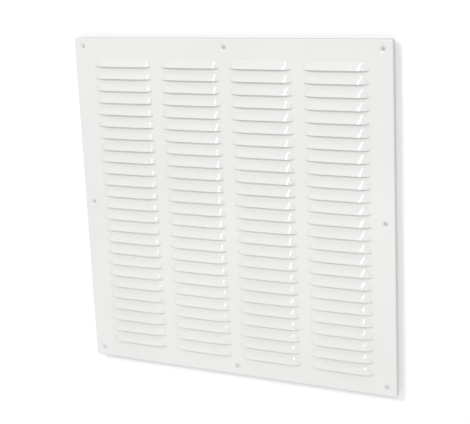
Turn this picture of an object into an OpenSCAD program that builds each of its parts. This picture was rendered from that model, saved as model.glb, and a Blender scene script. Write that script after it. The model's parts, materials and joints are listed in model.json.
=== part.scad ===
// Wall ventilation grille pressed from one sheet of steel, with columns of hooded louvres.
// The front faces -Y. The origin is the centre of the four corner screw holes, in the
// plane of the backs of their seats.

/* [Plate] */
// Overall width of the plate
plate_w = 350; // [150:10:600]
// Overall height of the plate
plate_h = 350; // [150:10:600]
// Thickness of the sheet
sheet_t = 0.8; // [0.5:0.1:1.2]
// Plan radius of the four corners
corner_r = 3; // [2:0.5:12]

/* [Turned back rim] */
// Depth from the front face to the rim's edge on the wall
rim_depth = 5; // [3:0.5:12]
// Outer radius of the bend between the face and the rim
rim_bend_r = 1.5; // [1.3:0.1:2]

/* [Louvres] */
// Length of one louvre, end to end
louvre_len = 67.5; // [40:0.5:100]
// Flat sheet left between two columns
col_gap = 11; // [6:0.5:30]
// Distance from one row to the next
row_pitch = 12.5; // [10:0.5:30]
// Least flat border left at each side
border_x = 20; // [16:1:60]
// Least flat border left at the top and the bottom
border_z = 20; // [16:1:60]
// Height of one hood, from its open lip up to its root
hood_run = 8.6; // [6:0.1:9.2]
// How far the lip stands out from the face
hood_rise = 4.3; // [2.5:0.1:5.5]
// Slope of a hood at its lip, against the face
lip_angle = 10; // [2:1:15]

/* [Screw holes] */
// Diameter of the screw holes
hole_d = 3.8; // [3:0.1:5]
// Distance from the side edges to the hole centres
hole_inset_x = 10; // [8:0.5:14]
// Distance from the top and bottom edges to the hole centres
hole_inset_z = 9; // [8:0.5:12]
// Flat ring round a hole, under the screw head
seat_w = 0.3; // [0.2:0.1:1]
// Width of a dimple's sloping wall
dimple_run = 2; // [1.5:0.1:3]
// Depth of a dimple
dimple_depth = 1; // [0.5:0.1:1.2]
// Front radius at the foot of a dimple's wall
dimple_foot_r = 1; // [0.3:0.1:1.2]

/* [Hidden] */
$fn = 48;
// Facets of a swelling's full turn in a plain mesh
swell_fn = 96;

// Straight steps that each bend is drawn with
dimple_steps = 3;
rim_steps = 4;
// How far a cutting tool runs past both faces of the sheet
overcut = 1;

// As many whole columns and rows as the borders leave room for
cols = floor((plate_w - 2 * border_x + col_gap) / (louvre_len + col_gap));
rows = floor((plate_h - 2 * border_z - hood_run) / row_pitch) + 1;
col_pitch = louvre_len + col_gap;
field_h = (rows - 1) * row_pitch + hood_run;

// A hood is part of a long round-ended swelling. Its radius and its axis, which lies below
// the lip, follow from the hood's size and the slope of its lip.
root_angle = 2 * atan(hood_rise / hood_run) - lip_angle;
swell_r = hood_run / (sin(root_angle) - sin(lip_angle));
axis_drop = swell_r * sin(lip_angle);
axis_z = hood_rise - swell_r * cos(lip_angle);
// How far a hood's rounded end reaches past its straight stretch, along the lip
end_reach = sqrt(pow(hood_run + axis_drop, 2) - pow(axis_drop, 2));
straight_half = louvre_len / 2 - end_reach;

seat_r = hole_d / 2 + seat_w;
dimple_r = seat_r + dimple_run;
// The front face's height above the backs of the screw seats
face_z = dimple_depth + sheet_t;

// Points along an arc about a centre, from angle a0 to a1, leaving out the first if asked
function arc(centre, r, a0, a1, steps, from = 0) = [
    for (i = [from : steps])
        let (a = a0 + (a1 - a0) * i / steps)
            centre + r * [cos(a), sin(a)]
];

function reversed(points) = [for (i = [len(points) - 1 : -1 : 0]) points[i]];

// The swelling at one depth into the sheet from its front, cut off along the lip and,
// towards the wall, at height from
module swelling(inset, from) {
    intersection() {
        translate([-louvre_len, 0, from])
            cube([2 * louvre_len, 2 * hood_run, hood_rise - from + overcut]);
        translate([-straight_half, -axis_drop, axis_z]) {
            rotate([0, 90, 0])
                cylinder(h = 2 * straight_half, r = swell_r - inset, $fn = swell_fn);
            for (end = [0, 1])
                translate([2 * straight_half * end, 0, 0])
                    sphere(r = swell_r - inset, $fn = swell_fn);
        }
    }
}

// A louvre's hood before it is hollow, its foot sunk half way into the sheet
module hood() {
    swelling(0, -sheet_t / 2);
}

// The room under a hood, open to the front along the lip and open to the back
module hood_cavity() {
    swelling(sheet_t, -sheet_t - overcut);
}

// One face of a dimple's wall, inset by a depth into the sheet from its front. From the
// flat sheet at dimple_r it rounds down, then rounds out level on the seat at seat_r.
// The two bends meet without a kink.
function dimple_wall(inset) =
    let (
        slope = 2 * atan(dimple_depth / dimple_run),
        brow_r = dimple_run / sin(slope) - dimple_foot_r
    )
    concat(
        arc([dimple_r, -brow_r], brow_r - inset, 90, 90 + slope, dimple_steps),
        arc([seat_r, dimple_foot_r - dimple_depth], dimple_foot_r + inset,
            270 + slope, 270, dimple_steps, 1)
    );

// Section of a screw dimple, from the bore's wall out to the flat sheet
module dimple_section() {
    polygon(concat(
        dimple_wall(0),
        [[hole_d / 2, -dimple_depth], [hole_d / 2, -dimple_depth - sheet_t]],
        reversed(dimple_wall(sheet_t))
    ));
}

module screw_dimple() {
    rotate_extrude()
        dimple_section();
}

module dimple_blank() {
    translate([0, 0, -sheet_t - overcut])
        cylinder(h = sheet_t + 2 * overcut, r = dimple_r);
}

// Section through the edge of the plate, out from a corner's centre to the rim's outside
module rim_section() {
    bend_centre = [corner_r - rim_bend_r, -rim_bend_r];
    outer = arc(bend_centre, rim_bend_r, 90, 0, rim_steps);
    inner = arc(bend_centre, rim_bend_r - sheet_t, 0, 90, rim_steps);
    polygon(concat(
        [[0, -sheet_t], [0, 0]],
        outer,
        [[corner_r, -rim_depth], [corner_r - sheet_t, -rim_depth]],
        inner
    ));
}

// The sheet before its louvres: a flat face with its four edges turned back
module folded_sheet() {
    inner_w = plate_w - 2 * corner_r;
    inner_h = plate_h - 2 * corner_r;
    translate([-inner_w / 2, -inner_h / 2, -sheet_t])
        cube([inner_w, inner_h, sheet_t]);
    for (turn = [0, 1, 2, 3]) {
        along = turn % 2 == 0 ? inner_h : inner_w;
        out = turn % 2 == 0 ? inner_w : inner_h;
        rotate([0, 0, 90 * turn]) {
            translate([out / 2, along / 2, 0])
                rotate([90, 0, 0])
                    linear_extrude(along)
                        rim_section();
            translate([out / 2, along / 2, 0])
                rotate_extrude(angle = 90)
                    rim_section();
        }
    }
}

// Puts its child at every louvre, with the child's x axis on the lip
module at_louvres() {
    for (col = [0 : cols - 1])
        translate([(col - (cols - 1) / 2) * col_pitch, 0, 0])
            for (row = [0 : rows - 1])
                translate([0, row * row_pitch - field_h / 2, 0])
                    children();
}

// Puts its child at the four corner holes and at the middle of each side
module at_screws() {
    x = plate_w / 2 - hole_inset_x;
    z = plate_h / 2 - hole_inset_z;
    for (i = [-1, 0, 1], j = [-1, 0, 1])
        if (i != 0 || j != 0)
            translate([i * x, j * z, 0])
                children();
}

module louvre_plate() {
    color([0.93, 0.93, 0.92])
        rotate([90, 0, 0])
            translate([0, 0, face_z])
                difference() {
                    union() {
                        difference() {
                            folded_sheet();
                            at_screws()
                                dimple_blank();
                        }
                        at_screws()
                            screw_dimple();
                        at_louvres()
                            hood();
                    }
                    at_louvres()
                        hood_cavity();
                }
}

louvre_plate();
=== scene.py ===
import json
from math import asin, atan2, cos, degrees, pi, radians, sin, sqrt

import bmesh
import bpy
from mathutils import Matrix, Vector
from mathutils.geometry import tessellate_polygon


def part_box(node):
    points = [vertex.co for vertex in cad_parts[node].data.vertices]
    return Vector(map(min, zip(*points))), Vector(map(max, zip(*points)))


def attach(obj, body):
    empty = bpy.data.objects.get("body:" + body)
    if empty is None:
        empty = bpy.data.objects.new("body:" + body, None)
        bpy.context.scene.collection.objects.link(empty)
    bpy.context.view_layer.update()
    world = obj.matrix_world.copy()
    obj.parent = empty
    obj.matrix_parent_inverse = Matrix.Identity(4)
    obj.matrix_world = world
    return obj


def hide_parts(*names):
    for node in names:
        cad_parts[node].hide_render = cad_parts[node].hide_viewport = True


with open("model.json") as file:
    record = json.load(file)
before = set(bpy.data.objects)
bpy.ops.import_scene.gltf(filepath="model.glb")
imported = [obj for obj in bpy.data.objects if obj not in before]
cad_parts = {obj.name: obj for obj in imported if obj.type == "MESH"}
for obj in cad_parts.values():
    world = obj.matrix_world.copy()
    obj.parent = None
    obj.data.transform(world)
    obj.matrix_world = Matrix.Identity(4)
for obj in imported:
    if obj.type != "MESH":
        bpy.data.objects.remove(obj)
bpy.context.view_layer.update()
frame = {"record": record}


# Pressed sheet: the flat face, the louvre hoods, the eight screw dimples and the turned back
# rim are all one sheet of 0.8 mm steel, sheared, pressed and folded. Its outside follows the
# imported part, and each stretch of it is drawn with both of its faces.
plate_low, plate_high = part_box("louvre_plate")
sheet_t = 0.0008
hood_rise = 0.0043
face_y = plate_low.y + hood_rise
edge_round = 0.00012
# Flat sheet kept beside a bend, so that the flat face beyond it shades flat
shade_band = 0.0004


class Sheet:
    """Vertices and faces of a stretch of sheet, where height is out from the face."""

    def __init__(self):
        self.points = []
        self.faces = []

    def point(self, x, z, height):
        self.points.append((x, -height, z))
        return len(self.points) - 1

    def row(self, points):
        return [self.point(*p) for p in points]

    def strip(self, row_a, row_b, closed=False):
        """A band of faces between two rows of equally many points."""
        count = len(row_a)
        for i in range(count if closed else count - 1):
            j = (i + 1) % count
            self.faces.append((row_a[i], row_a[j], row_b[j], row_b[i]))

    def fill(self, loops):
        """Flat sheet inside the first loop and outside the others."""
        flat = [
            [Vector((self.points[i][0], self.points[i][2], 0)) for i in loop]
            for loop in loops
        ]
        order = [i for loop in loops for i in loop]
        for triangle in tessellate_polygon(flat):
            self.faces.append(tuple(order[i] for i in triangle))

    def to_object(self, name):
        mesh = bpy.data.meshes.new(name)
        mesh.from_pydata(self.points, [], self.faces)
        thing = bpy.data.objects.new(name, mesh)
        bpy.context.scene.collection.objects.link(thing)
        return thing


# Louvre: a steel hood, sheared open along its lower lip and pressed out of the sheet in one
# stroke. Its blade is slightly crowned, its lip falls gently to the face at both ends, and a
# small bend at the root joins it to the face. One cell of the louvre field is drawn here.
columns = 4
rows = 25
col_pitch = 0.0785
row_pitch = 0.0125
louvre_len = 0.0675
hood_run = 0.0086
lip_tilt = 18
root_r = 0.0012
# Stretch over which the lip falls at each end, the powers that shape the start and the end of
# its fall, and the radius of its last bend into the face
lip_fall = 0.016
fall_start_power = 2.3
fall_end_power = 0.6
tip_r = 0.0009
# Plan radius of the hood's ends, and how far below the lip its centre lies
plan_r = 0.011
plan_drop = 0.0024
blade_steps = 5
root_steps = 4
plan_steps = 10
fall_steps = 5
# The root is never steeper than this, and each search for an angle or a place is halved so
# many times
steepest_root = 80
halvings = 50
hair = 0.000001


def blade_radius(root_tilt):
    """Radius of a blade that goes from lip_tilt to root_tilt over the hood's height."""
    run = hood_run - root_r * sin(radians(root_tilt))
    return run / (sin(radians(root_tilt)) - sin(radians(lip_tilt)))


def rise_for(root_tilt):
    """How far out the lip stands with a given tilt where the blade meets its root bend."""
    end, start = cos(radians(root_tilt)), cos(radians(lip_tilt))
    return blade_radius(root_tilt) * (start - end) + root_r * (1 - end)


low_tilt, high_tilt = lip_tilt + 1, steepest_root
for _ in range(halvings):
    root_tilt = (low_tilt + high_tilt) / 2
    if rise_for(root_tilt) < hood_rise:
        low_tilt = root_tilt
    else:
        high_tilt = root_tilt
blade_r = blade_radius(root_tilt)
root_run = root_r * sin(radians(root_tilt))


def section_height(reach):
    """Height of the hood's section at a reach up from its lip, as a share of the rise."""
    if reach >= hood_run:
        return 0
    if reach > hood_run - root_run:
        return (root_r - sqrt(root_r ** 2 - (hood_run - reach) ** 2)) / hood_rise
    turn = asin(sin(radians(lip_tilt)) + reach / blade_r)
    return 1 - blade_r * (cos(radians(lip_tilt)) - cos(turn)) / hood_rise


half_len = louvre_len / 2
fall_start = half_len - lip_fall
lip_share = hood_rise / (sqrt(hood_rise ** 2 + tip_r ** 2) - tip_r)


def lip_height(x):
    """Height of the lip at a place along the louvre, bent softly into the face at its end."""
    past = min(max(abs(x) - fall_start, 0) / lip_fall, 1)
    drawn = hood_rise * (1 - past ** fall_start_power) ** fall_end_power
    return (sqrt(drawn ** 2 + tip_r ** 2) - tip_r) * lip_share


plan_reach = sqrt(plan_r ** 2 - plan_drop ** 2)
plan_x = half_len - plan_reach


def outline_z(x):
    """Height up the plate of the hood's outline at a place along the louvre."""
    past = min(max(abs(x) - plan_x, 0), plan_reach)
    rounded = (sqrt(plan_r ** 2 - past ** 2) - plan_drop) / (plan_r - plan_drop)
    return hood_run * rounded


def hood_height(x, z):
    """Height of the hood's front at a place on it."""
    edge = outline_z(x)
    if edge < hair:
        return 0
    return lip_height(x) * section_height(hood_run * max(z, 0) / edge)


def back_height(x, z):
    """Height of the sheet's back under a place on the hood."""
    if outline_z(x) < hair:
        return -sheet_t
    step = 0.00002
    above, below = z + step, max(z - step, 0)
    slope_x = (hood_height(x + step, z) - hood_height(x - step, z)) / (2 * step)
    slope_z = (hood_height(x, above) - hood_height(x, below)) / (above - below)
    return hood_height(x, z) - sheet_t * sqrt(1 + slope_x ** 2 + slope_z ** 2)


# Places along the louvre where its mesh is divided, with one where the slot closes
tip_turn = asin(plan_drop / plan_r)
plan_turns = [pi / 2 - (pi / 2 - tip_turn) * i / plan_steps for i in range(plan_steps + 1)]
places = [plan_x + plan_r * cos(turn) for turn in plan_turns]
places += [fall_start + (plan_x - fall_start) * i / fall_steps for i in range(fall_steps)]
places.sort()
open_x, shut_x = plan_x, half_len - hair
for _ in range(halvings):
    slot_end = (open_x + shut_x) / 2
    if back_height(slot_end, 0) > 0:
        open_x = slot_end
    else:
        shut_x = slot_end
nearest = min(range(1, len(places) - 1), key=lambda i: abs(places[i] - slot_end))
places[nearest] = slot_end
stations = [-x for x in reversed(places)] + places

blade_turns = [
    radians(lip_tilt + (root_tilt - lip_tilt) * i / blade_steps)
    for i in range(blade_steps)
]
levels = [blade_r * (sin(turn) - sin(radians(lip_tilt))) for turn in blade_turns]
levels += [hood_run - root_run * (1 - i / root_steps) for i in range(root_steps + 1)]

louvre = Sheet()


def hood_skin(height_of, lip_setback):
    """One face of a hood, as a row of points for each station, from the lip to the root."""
    skin = []
    for x, setback in zip(stations, lip_setback):
        edge = outline_z(x)
        line = []
        for level in levels:
            z = max(edge * level / hood_run, min(setback, edge))
            line.append(louvre.point(x, z, height_of(x, z)))
        aside = max(abs(x) - plan_x, 0) / plan_r
        up = sqrt(1 - aside ** 2)
        side = -1 if x < 0 else 1
        flat_x = x + side * shade_band * aside
        flat_z = edge + shade_band * up
        line.append(louvre.point(flat_x, flat_z, height_of(0, hood_run)))
        skin.append(line)
    for line, next_line in zip(skin, skin[1:]):
        louvre.strip(line, next_line)
    return skin


# The rounding along a cut takes at most this part of a thin lip
rounded_part = 1 / 3
front_height = [lip_height(x) for x in stations]
under_height = [back_height(x, 0) for x in stations]
opening = [height if height > hair else 0 for height in under_height]
lip_round = [min(edge_round, (f - o) * rounded_part) for f, o in zip(front_height, opening)]
cut_round = [min(edge_round, o * rounded_part) for o in opening]

front_skin = hood_skin(hood_height, lip_round)
back_skin = hood_skin(back_height, [0] * len(stations))
front_lip = [line[0] for line in front_skin]
lip_edge = louvre.row([(x, 0, f - e) for x, f, e in zip(stations, front_height, lip_round)])
lip_floor = louvre.row([(x, 0, o) for x, o in zip(stations, opening)])
cut_front = louvre.row([(x, -e, 0) for x, e in zip(stations, cut_round)])
cut_edge = louvre.row([
    (x, 0, min(under, 0) - e)
    for x, under, e in zip(stations, under_height, cut_round)
])
cut_back = louvre.row([(x, 0, -sheet_t) for x in stations])
is_open = [i for i, height in enumerate(opening) if height > 0]
slot = slice(is_open[0] - 1, is_open[-1] + 2)
louvre.strip(front_lip, lip_edge)
louvre.strip(lip_edge, lip_floor)
louvre.strip(cut_front[slot], cut_edge[slot])
louvre.strip(cut_edge, cut_back)

cell_low = hood_run / 2 - row_pitch / 2
cell_high = hood_run / 2 + row_pitch / 2
cell_corners = [
    (-col_pitch / 2, cell_low),
    (col_pitch / 2, cell_low),
    (col_pitch / 2, cell_high),
    (-col_pitch / 2, cell_high),
]
for skin, edge, height in ((front_skin, cut_front, 0), (back_skin, cut_back, -sheet_t)):
    outline = [line[-1] for line in skin]
    corners = louvre.row([(x, z, height) for x, z in cell_corners])
    louvre.fill([corners, edge + list(reversed(outline))])
louvre_cell = louvre.to_object("louvre_cell")


# Screw seat: a shallow dimple pressed round each of the eight punched screw holes, so that
# the screw's head sits below the face. The steel round it is drawn in very slightly.
mounts = {mount["name"]: mount for mount in frame["record"]["mounts"]}
corner_dims = mounts["corner_screws"]["dims"]
hole_span_x = corner_dims["spacing_x_mm"] / 1000
hole_span_z = corner_dims["spacing_y_mm"] / 1000
hole_r = corner_dims["hole_r_mm"] / 1000
seat_ring = 0.0003
wall_run = 0.002
seat_depth = 0.001
seat_foot_r = 0.001
draw_reach = 0.0024
draw_depth = 0.00005
seat_sides = 40
bend_steps = 5
draw_steps = 4

seat_r = hole_r + seat_ring
dimple_r = seat_r + wall_run
wall_tilt = degrees(2 * atan2(seat_depth - draw_depth, wall_run))
brow_r = wall_run / sin(radians(wall_tilt)) - seat_foot_r


def arc(centre_x, centre_y, radius, start, end, steps):
    """Points along an arc, with its angles in degrees."""
    turns = [radians(start + (end - start) * i / steps) for i in range(steps + 1)]
    return [(centre_x + radius * cos(a), centre_y + radius * sin(a)) for a in turns]


def dimple_wall(inset):
    """Section of one face of a dimple, from the flat sheet in to its seat."""
    shares = [i / draw_steps for i in range(draw_steps)]
    draw = [
        (dimple_r + draw_reach * (1 - share), -draw_depth * share ** 2 - inset)
        for share in shares
    ]
    brow_centre = -draw_depth - brow_r
    foot_centre = seat_foot_r - seat_depth
    brow = arc(dimple_r, brow_centre, brow_r - inset, 90, 90 + wall_tilt, bend_steps)
    foot = arc(seat_r, foot_centre, seat_foot_r + inset, 270 + wall_tilt, 270, bend_steps)
    return [(dimple_r + draw_reach + shade_band, -inset)] + draw + brow + foot[1:]


bore = [
    (hole_r + edge_round, -seat_depth),
    (hole_r, -seat_depth - edge_round),
    (hole_r, -seat_depth - sheet_t + edge_round),
    (hole_r + edge_round, -seat_depth - sheet_t),
]
seat_section = dimple_wall(0) + bore + list(reversed(dimple_wall(sheet_t)))
seat_turns = [2 * pi * i / seat_sides for i in range(seat_sides)]
seat = Sheet()
seat_rings = [
    seat.row([(r * cos(a), r * sin(a), height) for a in seat_turns])
    for r, height in seat_section
]
for ring, next_ring in zip(seat_rings, seat_rings[1:]):
    seat.strip(ring, next_ring, closed=True)
screw_seat = seat.to_object("screw_seat")


# Border and rim: the flat steel left round the louvres, whose four outer edges are folded back
# to the wall. The fold runs round the corners in one, so the rim has no seam.
half_w = plate_high.x
half_h = plate_high.z
rim_depth = plate_high.y - face_y
corner_r = 0.003
fold_r = 0.0015
rim_round = 0.00015
corner_steps = 8
fold_steps = 6

fold_x = corner_r - fold_r
flat_end = fold_x - shade_band
rim_section = (
    [(flat_end, 0)]
    + arc(fold_x, -fold_r, fold_r, 90, 0, fold_steps)
    + [
        (corner_r, -rim_depth + rim_round),
        (corner_r - rim_round, -rim_depth),
        (corner_r - sheet_t + rim_round, -rim_depth),
        (corner_r - sheet_t, -rim_depth + rim_round),
    ]
    + arc(fold_x, -fold_r, fold_r - sheet_t, 0, 90, fold_steps)
    + [(flat_end, -sheet_t)]
)
border = Sheet()


def outline_ring(reach, height):
    """A ring round the plate, at a reach out from the corners' centres."""
    points = []
    for quarter in range(4):
        middle_x = (half_w - corner_r) * (1 if quarter in (0, 3) else -1)
        middle_z = (half_h - corner_r) * (1 if quarter in (0, 1) else -1)
        for i in range(corner_steps + 1):
            turn = radians(90 * quarter + 90 * i / corner_steps)
            points.append((middle_x + reach * cos(turn), middle_z + reach * sin(turn), height))
    return border.row(points)


rim_rings = [outline_ring(reach, height) for reach, height in rim_section]
for ring, next_ring in zip(rim_rings, rim_rings[1:]):
    border.strip(ring, next_ring, closed=True)

field_x = columns * col_pitch / 2
field_z = rows * row_pitch / 2
field = (
    [(-field_x + col_pitch * i, -field_z) for i in range(columns)]
    + [(field_x, -field_z + row_pitch * i) for i in range(rows)]
    + [(field_x - col_pitch * i, field_z) for i in range(columns)]
    + [(-field_x, field_z - row_pitch * i) for i in range(rows)]
)
seat_outer_r = seat_section[0][0]
screw_places = [
    (i * hole_span_x / 2, j * hole_span_z / 2)
    for i in (-1, 0, 1)
    for j in (-1, 0, 1)
    if (i, j) != (0, 0)
]
for ring, height in ((rim_rings[0], 0), (rim_rings[-1], -sheet_t)):
    loops = [ring, border.row([(x, z, height) for x, z in field])]
    for x, z in screw_places:
        circle = [(x + seat_outer_r * cos(a), z + seat_outer_r * sin(a)) for a in seat_turns]
        loops.append(border.row([(cx, cz, height) for cx, cz in circle]))
    border.fill(loops)
plate = border.to_object("louvre_plate_sheet")


# Paint: a hard gloss white, sprayed over the whole sheet and baked on. It has a fine orange
# peel, and shows the broad soft waves that the pressing leaves in the steel.
paint = bpy.data.materials.new("white_baked_paint")
paint.use_nodes = True
nodes, links = paint.node_tree.nodes, paint.node_tree.links
shader = nodes["Principled BSDF"]
shader.inputs["IOR"].default_value = 1.5
shader.inputs["Coat Weight"].default_value = 0.3
shader.inputs["Coat Roughness"].default_value = 0.05
coordinates = nodes.new("ShaderNodeTexCoord")


def noise(scale, detail):
    texture = nodes.new("ShaderNodeTexNoise")
    texture.inputs["Scale"].default_value = scale
    texture.inputs["Detail"].default_value = detail
    links.new(coordinates.outputs["Object"], texture.inputs["Vector"])
    return texture.outputs["Fac"]


def ramp(source, low, high):
    """Colours or greys spread over the middle of a noise."""
    spread = nodes.new("ShaderNodeValToRGB")
    for stop, position, colour in zip(spread.color_ramp.elements, (0.3, 0.7), (low, high)):
        stop.position = position
        stop.color = (*colour, 1)
    links.new(source, spread.inputs["Fac"])
    return spread.outputs["Color"]


def bump(height, distance, strength, before=None):
    relief = nodes.new("ShaderNodeBump")
    relief.inputs["Distance"].default_value = distance
    relief.inputs["Strength"].default_value = strength
    links.new(height, relief.inputs["Height"])
    if before:
        links.new(before, relief.inputs["Normal"])
    return relief.outputs["Normal"]


white = ramp(noise(scale=9, detail=3), low=(0.80, 0.80, 0.785), high=(0.825, 0.825, 0.815))
gloss = ramp(noise(scale=160, detail=4), low=(0.1, 0.1, 0.1), high=(0.125, 0.125, 0.125))
waves = bump(noise(scale=14, detail=1), distance=0.0004, strength=0.035)
peel = bump(noise(scale=700, detail=2), distance=0.00001, strength=0.5, before=waves)
links.new(white, shader.inputs["Base Color"])
links.new(gloss, shader.inputs["Roughness"])
links.new(peel, shader.inputs["Normal"])


# Whole plate: the cells of the louvre field and the eight screw seats are set into the border
# and welded to it edge to edge, as one closed skin of painted steel. The plate is held to the
# wall by screws through its eight seats.
tree = bpy.data.node_groups.new("pressed_pattern", "GeometryNodeTree")
tree.is_modifier = True
sockets = (
    ("Border", "NodeSocketGeometry"),
    ("Louvre", "NodeSocketObject"),
    ("Screw seat", "NodeSocketObject"),
    ("Columns", "NodeSocketInt"),
    ("Rows", "NodeSocketInt"),
    ("Column pitch", "NodeSocketFloat"),
    ("Row pitch", "NodeSocketFloat"),
    ("Louvre field centre", "NodeSocketVector"),
    ("Holes a side", "NodeSocketInt"),
    ("Hole span across", "NodeSocketFloat"),
    ("Hole span up", "NodeSocketFloat"),
    ("Paint", "NodeSocketMaterial"),
)
socket_ids = {}
for name, kind in sockets:
    item = tree.interface.new_socket(name, in_out="INPUT", socket_type=kind)
    socket_ids[name] = item.identifier
tree.interface.new_socket("Sheet", in_out="OUTPUT", socket_type="NodeSocketGeometry")
given = tree.nodes.new("NodeGroupInput").outputs
result = tree.nodes.new("NodeGroupOutput")


def link(source, target):
    tree.links.new(source, target)


def row_length(count, pitch):
    """Length from the first to the last of a row of points."""
    gaps = tree.nodes.new("ShaderNodeMath")
    gaps.operation = "SUBTRACT"
    gaps.inputs[1].default_value = 1
    link(count, gaps.inputs[0])
    length = tree.nodes.new("ShaderNodeMath")
    length.operation = "MULTIPLY"
    link(gaps.outputs[0], length.inputs[0])
    link(pitch, length.inputs[1])
    return length.outputs[0]


def upright_grid(count_across, count_up, width, height):
    """A grid of points that stands upright in the plate's plane."""
    grid = tree.nodes.new("GeometryNodeMeshGrid")
    link(count_across, grid.inputs["Vertices X"])
    link(count_up, grid.inputs["Vertices Y"])
    link(width, grid.inputs["Size X"])
    link(height, grid.inputs["Size Y"])
    stood = tree.nodes.new("GeometryNodeTransform")
    stood.inputs["Rotation"].default_value = (pi / 2, 0, 0)
    link(grid.outputs["Mesh"], stood.inputs["Geometry"])
    return stood


def set_at(points, thing):
    """The named object's mesh, set at each point."""
    info = tree.nodes.new("GeometryNodeObjectInfo")
    info.transform_space = "ORIGINAL"
    link(given[thing], info.inputs["Object"])
    setter = tree.nodes.new("GeometryNodeInstanceOnPoints")
    link(points.outputs["Geometry"], setter.inputs["Points"])
    link(info.outputs["Geometry"], setter.inputs["Instance"])
    return setter


field_width = row_length(given["Columns"], given["Column pitch"])
field_height = row_length(given["Rows"], given["Row pitch"])
louvre_points = upright_grid(given["Columns"], given["Rows"], field_width, field_height)
link(given["Louvre field centre"], louvre_points.inputs["Translation"])
louvres = set_at(louvre_points, "Louvre")

holes_a_side = 3
middle_point = 4
across, up = given["Hole span across"], given["Hole span up"]
seat_points = upright_grid(given["Holes a side"], given["Holes a side"], across, up)
seats = set_at(seat_points, "Screw seat")
index = tree.nodes.new("GeometryNodeInputIndex")
not_middle = tree.nodes.new("FunctionNodeCompare")
not_middle.data_type = "INT"
not_middle.operation = "NOT_EQUAL"
whole_sockets = {socket.name: socket for socket in not_middle.inputs if socket.type == "INT"}
link(index.outputs["Index"], whole_sockets["A"])
whole_sockets["B"].default_value = middle_point
link(not_middle.outputs["Result"], seats.inputs["Selection"])

weld_distance = 0.000004
joined = tree.nodes.new("GeometryNodeJoinGeometry")
for source in (given["Border"], louvres.outputs["Instances"], seats.outputs["Instances"]):
    link(source, joined.inputs["Geometry"])
realized = tree.nodes.new("GeometryNodeRealizeInstances")
welded = tree.nodes.new("GeometryNodeMergeByDistance")
welded.inputs["Distance"].default_value = weld_distance
painted = tree.nodes.new("GeometryNodeSetMaterial")
link(joined.outputs["Geometry"], realized.inputs["Geometry"])
link(realized.outputs["Geometry"], welded.inputs["Geometry"])
link(welded.outputs["Geometry"], painted.inputs["Geometry"])
link(given["Paint"], painted.inputs["Material"])
link(painted.outputs["Geometry"], result.inputs["Sheet"])

pattern = plate.modifiers.new("pressed_pattern", "NODES")
pattern.node_group = tree
values = {
    "Louvre": louvre_cell,
    "Screw seat": screw_seat,
    "Columns": columns,
    "Rows": rows,
    "Column pitch": col_pitch,
    "Row pitch": row_pitch,
    "Louvre field centre": (0, 0, -hood_run / 2),
    "Holes a side": holes_a_side,
    "Hole span across": hole_span_x,
    "Hole span up": hole_span_z,
    "Paint": paint,
}
for name, value in values.items():
    pattern[socket_ids[name]] = value

bpy.context.view_layer.update()
evaluated = plate.evaluated_get(bpy.context.evaluated_depsgraph_get())
pressed = bpy.data.meshes.new_from_object(evaluated)
plate.modifiers.remove(pattern)
plate.data = pressed
for helper in (louvre_cell, screw_seat):
    bpy.data.objects.remove(helper)

smooth_below = 50
shell = bmesh.new()
shell.from_mesh(pressed)
bmesh.ops.remove_doubles(shell, verts=shell.verts, dist=weld_distance)
bmesh.ops.dissolve_degenerate(shell, dist=weld_distance, edges=shell.edges)
bmesh.ops.translate(shell, verts=shell.verts, vec=(0, face_y, 0))
bmesh.ops.recalc_face_normals(shell, faces=shell.faces)
shell.to_mesh(pressed)
shell.free()
pressed.shade_smooth()
pressed.set_sharp_from_angle(angle=radians(smooth_below))
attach(plate, "root")
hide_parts("louvre_plate")


# Wall and floor: a plain white wall just behind the plate, and a plain floor well below it,
# both in matt paint. The wall shows only from its front, so that the plate's back can be seen.
wall_half = 1.2
wall_gap = 0.007
wall_y = plate_high.y + wall_gap
floor_z = -0.55
floor_front = wall_y - 2 * wall_half


def stage_plane(name, corners):
    mesh = bpy.data.meshes.new(name)
    mesh.from_pydata(corners, [], [(0, 1, 2, 3)])
    thing = bpy.data.objects.new(name, mesh)
    bpy.context.scene.collection.objects.link(thing)
    return thing


def stage_paint(name, grey, glow, front_only=False):
    """Matt paint with a little glow for the camera, to bring it to white."""
    material = bpy.data.materials.new(name)
    material.use_nodes = True
    stage_nodes, stage_links = material.node_tree.nodes, material.node_tree.links
    matt = stage_nodes["Principled BSDF"]
    matt.inputs["Base Color"].default_value = (grey, grey, grey, 1)
    matt.inputs["Roughness"].default_value = 0.9
    matt.inputs["Specular IOR Level"].default_value = 0.1
    matt.inputs["Emission Color"].default_value = (1, 1, 1, 1)
    path = stage_nodes.new("ShaderNodeLightPath")
    strength = stage_nodes.new("ShaderNodeMath")
    strength.operation = "MULTIPLY"
    strength.inputs[1].default_value = glow
    stage_links.new(path.outputs["Is Camera Ray"], strength.inputs[0])
    stage_links.new(strength.outputs[0], matt.inputs["Emission Strength"])
    if front_only:
        geometry = stage_nodes.new("ShaderNodeNewGeometry")
        front = stage_nodes.new("ShaderNodeMath")
        front.operation = "SUBTRACT"
        front.use_clamp = True
        stage_links.new(path.outputs["Is Camera Ray"], front.inputs[0])
        stage_links.new(geometry.outputs["Backfacing"], front.inputs[1])
        clear = stage_nodes.new("ShaderNodeBsdfTransparent")
        mix = stage_nodes.new("ShaderNodeMixShader")
        stage_links.new(front.outputs[0], mix.inputs["Fac"])
        stage_links.new(clear.outputs[0], mix.inputs[1])
        stage_links.new(matt.outputs[0], mix.inputs[2])
        stage_links.new(mix.outputs[0], stage_nodes["Material Output"].inputs["Surface"])
    return material


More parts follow.
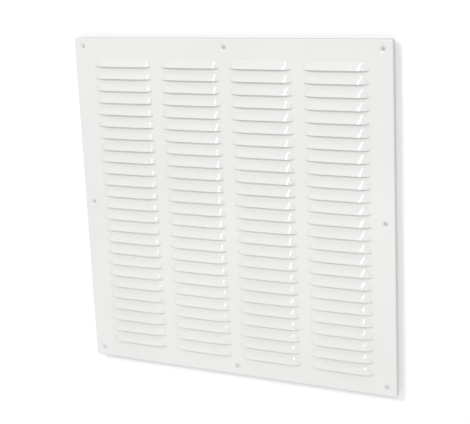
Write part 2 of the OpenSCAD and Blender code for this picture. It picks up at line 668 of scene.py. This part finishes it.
wall = stage_plane("wall", [
    (-wall_half, wall_y, floor_z),
    (wall_half, wall_y, floor_z),
    (wall_half, wall_y, wall_half),
    (-wall_half, wall_y, wall_half),
])
wall.data.materials.append(stage_paint("wall_paint", grey=0.96, glow=0.05, front_only=True))
floor = stage_plane("floor", [
    (-wall_half, wall_y, floor_z),
    (-wall_half, floor_front, floor_z),
    (wall_half, floor_front, floor_z),
    (wall_half, wall_y, floor_z),
])
floor.data.materials.append(stage_paint("floor_paint", grey=0.9, glow=0.2))


# Camera: it stands to the right of the plate and a little above it, and leans slightly to one
# side, as the photograph's did.
image_width = 470
focal_pixels = 1176
sensor = 36
view_turn = 27.56
view_drop = 13.7
view_roll = -2.53
view_distance = 1.187
aim = Vector((0.0051, face_y, 0.0007))

camera_data = bpy.data.cameras.new("camera")
camera_data.sensor_width = sensor
camera_data.lens = focal_pixels / image_width * sensor
camera = bpy.data.objects.new("camera", camera_data)
bpy.context.scene.collection.objects.link(camera)
turned = (
    Matrix.Rotation(radians(view_turn), 4, "Z")
    @ Matrix.Rotation(radians(90 - view_drop), 4, "X")
    @ Matrix.Rotation(radians(view_roll), 4, "Z")
)
stepped_back = Matrix.Translation((0, 0, view_distance))
camera.matrix_world = Matrix.Translation(aim) @ turned @ stepped_back
bpy.context.scene.camera = camera


# Light: a soft box well in front on each side, a weak one overhead, and an even soft light
# from all round. A tall narrow panel close in front shows only as the bright reflections on
# the hoods, and the two soft boxes only light the plate.
def soft_box(name, place, width, height, radiance, faces_wall=False):
    """A panel of light that faces the plate's middle, or straight back to the wall."""
    data = bpy.data.lights.new(name, "AREA")
    data.shape = "RECTANGLE"
    data.size = width
    data.size_y = height
    data.energy = radiance * pi * width * height
    lamp = bpy.data.objects.new(name, data)
    lamp.location = place
    away = Vector((0, -1, 0)) if faces_wall else Vector(place)
    lamp.rotation_euler = away.to_track_quat("Z", "Y").to_euler()
    bpy.context.scene.collection.objects.link(lamp)
    return lamp


for side, place, radiance in (("left", (-1, -3, 2), 21), ("right", (1.3, -3, 1.5), 14.5)):
    key = soft_box("key_" + side, place, width=0.8, height=0.62, radiance=radiance)
    key.visible_glossy = False
soft_box("overhead", (-0.3, -0.7, 1.9), width=2, height=1.2, radiance=0.35)
strip = soft_box("strip", (0.03, -0.66, 0.8), width=0.085, height=1.1, radiance=8, faces_wall=True)
strip.visible_diffuse = False

surround = 0.62
world = bpy.data.worlds.new("studio")
world.use_nodes = True
bpy.context.scene.world = world
world_nodes, world_links = world.node_tree.nodes, world.node_tree.links
background = world_nodes["Background"]
background.inputs["Color"].default_value = (1, 1, 1, 1)
ray = world_nodes.new("ShaderNodeLightPath")
level = world_nodes.new("ShaderNodeMapRange")
level.inputs["To Min"].default_value = surround
level.inputs["To Max"].default_value = 1
world_links.new(ray.outputs["Is Camera Ray"], level.inputs["Value"])
world_links.new(level.outputs["Result"], background.inputs["Strength"])
bpy.context.scene.view_settings.view_transform = "Standard"
